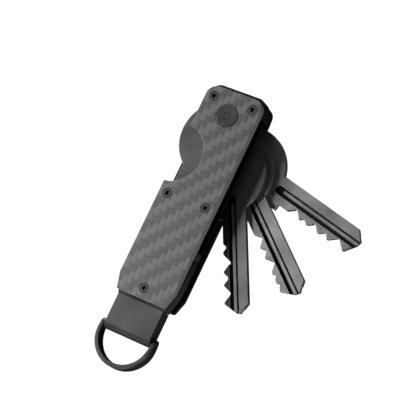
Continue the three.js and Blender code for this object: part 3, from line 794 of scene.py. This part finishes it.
def band_heights(y):
    """Lowest and highest point of the ring's band at a distance along its legs."""
    if y <= RING_FULL_Y:
        return RING_LOW, RING_HIGH
    if y <= PIN_Y:
        share = (y - RING_FULL_Y) / (PIN_Y - RING_FULL_Y)
        return (RING_LOW + share * (PIN_Z - RING_EYE - RING_LOW),
                RING_HIGH + share * (PIN_Z + RING_EYE - RING_HIGH))
    reach = math.sqrt(max(0.0, RING_EYE ** 2 - (y - PIN_Y) ** 2))
    return PIN_Z - reach, PIN_Z + reach


def band_section(half_width, low, high, bevel):
    """A rounded rectangle: distance from the band's middle line, and height."""
    bevel = min(bevel, (high - low) / 2 - 0.01)
    corners = []
    for x, z, start in ((half_width, high, 0), (-half_width, high, 90),
                        (-half_width, low, 180), (half_width, low, 270)):
        sx, sz = math.copysign(bevel, x), (bevel if z == high else -bevel)
        corners += arc(x - sx, z - sz, bevel, math.radians(start), math.radians(start + 90), 5)
    return corners


def d_ring():
    """A flat band swept round a D, its legs tapering to an eye for the pin."""
    mean = (RING_OUTER + RING_INNER) / 2
    half = (RING_OUTER - RING_INNER) / 2
    end_y = PIN_Y + RING_EYE - 0.02
    leg = [end_y - (end_y - PIN_Y) * (1 - math.cos(math.pi / 2 * i / 8)) for i in range(8)]
    leg += [PIN_Y + (RING_CENTRE_Y - PIN_Y) * i / 3 for i in range(4)]
    path = [((mean, y), (1, 0)) for y in leg[:-1]]
    path += [((mean * math.cos(a), RING_CENTRE_Y + mean * math.sin(a)), (math.cos(a), math.sin(a)))
             for a in (-math.pi * i / 96 for i in range(97))]
    path += [((-mean, y), (-1, 0)) for y in leg[-2::-1]]
    bm = bmesh.new()
    rings = []
    for (x, y), (nx, ny) in path:
        low, high = band_heights(y)
        rings.append([bm.verts.new((x + nx * d, y + ny * d, z))
                      for d, z in band_section(half, low, high, RING_BEVEL)])
    skin(bm, rings)
    piece = make("d_ring", bm, "ring", RING_METAL, ["d_ring"])
    eye = crosswise_cylinder(PIN_Y, PIN_Z, PIN_RADIUS + PIN_PLAY, 2 * RING_OUTER)
    cut(piece, [(eye, RING_METAL)])


def release_button():
    """A block with a round upper end, standing a little proud of the case's side."""
    radius = (BUTTON_HIGH - BUTTON_LOW) / 2
    outline = arc(BUTTON_TOP - radius, BUTTON_LOW + radius, radius, -math.pi / 2, math.pi / 2, 24) + [
        (BUTTON_BOTTOM, BUTTON_HIGH), (BUTTON_BOTTOM, BUTTON_LOW)]
    bm = bmesh.new()
    add_plate(bm, outline, rounded_profile(BUTTON_IN, BUTTON_OUT, 0.18))
    bm.transform(SIDEWAYS)
    make("release_button", bm, "button", DARK_METAL, ["release_button"])


def release_spring():
    """A helix behind the button."""
    middle_y, middle_z = (BUTTON_TOP + BUTTON_BOTTOM) / 2, (DIVIDER_TOP + FRONT_LINER_BOTTOM) / 2
    run = BUTTON_IN - 2 * SPRING_WIRE - SPRING_IN
    steps = SPRING_TURNS * 24
    bm = bmesh.new()
    rings = []
    for i in range(steps + 1):
        turn = 2 * math.pi * SPRING_TURNS * i / steps
        outward = Vector((0, math.cos(turn), math.sin(turn)))
        centre = Vector((SPRING_IN + run * i / steps, middle_y, middle_z)) + outward * SPRING_RADIUS
        rings.append([bm.verts.new(centre + outward * a + Vector((b, 0, 0)))
                      for a, b in circle(0, 0, SPRING_WIRE, 10)])
    skin(bm, rings)
    piece = make("release_spring", bm, "case", SPRING_STEEL, ["release_spring"])
    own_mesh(piece)


ring_tab()
ring_pin()
d_ring()
release_button()
release_spring()

# ---- pieces that keep their CAD shape ------------------------------------------------------
KEPT = {
    "latch_housing": HOUSING_BLACK, "back_wall": BLACK_STEEL, "pivot_post": DARK_METAL,
    **{f"washer_{i}": NYLON for i in range(1, 7)},
}
for node_name, node_material in KEPT.items():
    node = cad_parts[node_name]
    node.data.materials.clear()
    node.data.materials.append(node_material)

# ---- studio --------------------------------------------------------------------------------
SKY_BRIGHT_SIDE = (-0.8, 0.3, 0.5)
SKY_DARK, SKY_BRIGHT = 0.02, 0.055
FLOOR_DROP = 0.045                # the holder hovers over the floor, as in a product picture
FLOOR_GLOW = 0.93
LIGHTS = {                        # place, size and energy; all aim at the origin
    "key_light": ((-0.47, -0.06, 0.34), 0.3, 5.6),
    "side_light": ((0.6, -0.25, 0.03), 0.25, 2.2),
    "fill_light": ((0.0, -0.6, 0.05), 0.3, 2.8),
    "back_light": ((-0.35, 0.5, 0.06), 0.3, 3.0),
}
LENS, SENSOR = 149.4, 36.0
CAMERA_PLACE = (0.2124, -0.0699, 0.4485)
CAMERA_RIGHT = (0.842, 0.4271, -0.3294)
CAMERA_UP = (-0.3366, 0.8933, 0.2978)
CAMERA_BACK = (0.4215, -0.1399, 0.896)


def floor():
    """A white paper floor, lit from within so that it stays even."""
    bm = bmesh.new()
    bmesh.ops.create_grid(bm, x_segments=2, y_segments=2, size=8.0)
    mesh = bpy.data.meshes.new("floor")
    bm.to_mesh(mesh)
    bm.free()
    mesh.transform(Matrix.Translation((0, 0, -FLOOR_DROP)))
    n = Nodes("floor_paper", 0.9)
    n.base(n.colour(n.noise(n.mapped(), 30.0), grey(0.11), grey(0.13)))
    n.shader.inputs["Emission Color"].default_value = (1, 1, 1, 1)
    n.shader.inputs["Emission Strength"].default_value = FLOOR_GLOW
    mesh.materials.append(n.material)
    piece = bpy.data.objects.new("floor", mesh)
    bpy.context.scene.collection.objects.link(piece)
    piece.visible_diffuse = False
    piece.visible_glossy = False


def area_light(name, place, size, energy):
    """A soft round lamp that aims at the origin."""
    light = bpy.data.lights.new(name, "AREA")
    light.shape = "DISK"
    light.size = size
    light.energy = energy
    lamp = bpy.data.objects.new(name, light)
    lamp.location = place
    lamp.rotation_euler = (-Vector(place)).to_track_quat("-Z", "Y").to_euler()
    bpy.context.scene.collection.objects.link(lamp)


def soft_range(tree, value, limits):
    """Maps a socket's value smoothly; limits are from low, from high, to low, to high."""
    node = tree.nodes.new("ShaderNodeMapRange")
    node.interpolation_type = "SMOOTHSTEP"
    for number, target in zip(limits, node.inputs[1:5]):
        target.default_value = number
    tree.links.new(value, node.inputs[0])
    return node.outputs[0]


def sky():
    """A soft white surround, brightest on the upper left, and dimmed below the horizon."""
    world = bpy.data.worlds.new("studio")
    world.use_nodes = True
    bpy.context.scene.world = world
    tree = world.node_tree
    background = tree.nodes["Background"]
    background.inputs["Color"].default_value = (1, 1, 1, 1)
    place = tree.nodes.new("ShaderNodeTexCoord")
    slope = tree.nodes.new("ShaderNodeVectorMath")
    slope.operation = "DOT_PRODUCT"
    slope.inputs[1].default_value = Vector(SKY_BRIGHT_SIDE).normalized()
    tree.links.new(place.outputs["Generated"], slope.inputs[0])
    glow = soft_range(tree, slope.outputs["Value"], (-0.5, 0.95, SKY_DARK, SKY_BRIGHT))
    height = tree.nodes.new("ShaderNodeSeparateXYZ")
    tree.links.new(place.outputs["Generated"], height.inputs[0])
    horizon = soft_range(tree, height.outputs[2], (-0.12, 0.1, 0.05, 1.0))
    strength = tree.nodes.new("ShaderNodeMath")
    strength.operation = "MULTIPLY"
    tree.links.new(glow, strength.inputs[0])
    tree.links.new(horizon, strength.inputs[1])
    tree.links.new(strength.outputs[0], background.inputs["Strength"])


def camera():
    """A long lens, from above the holder's right side."""
    data = bpy.data.cameras.new("camera")
    data.lens = LENS
    data.sensor_width = SENSOR
    data.clip_start = 0.01
    data.clip_end = 50.0
    holder = bpy.data.objects.new("camera", data)
    turn = Matrix((CAMERA_RIGHT, CAMERA_UP, CAMERA_BACK)).transposed()
    holder.matrix_world = Matrix.Translation(CAMERA_PLACE) @ turn.to_4x4()
    bpy.context.scene.collection.objects.link(holder)
    bpy.context.scene.camera = holder


floor()
sky()
for light_name, settings in LIGHTS.items():
    area_light(light_name, *settings)
camera()
bpy.context.scene.view_settings.view_transform = "Standard"
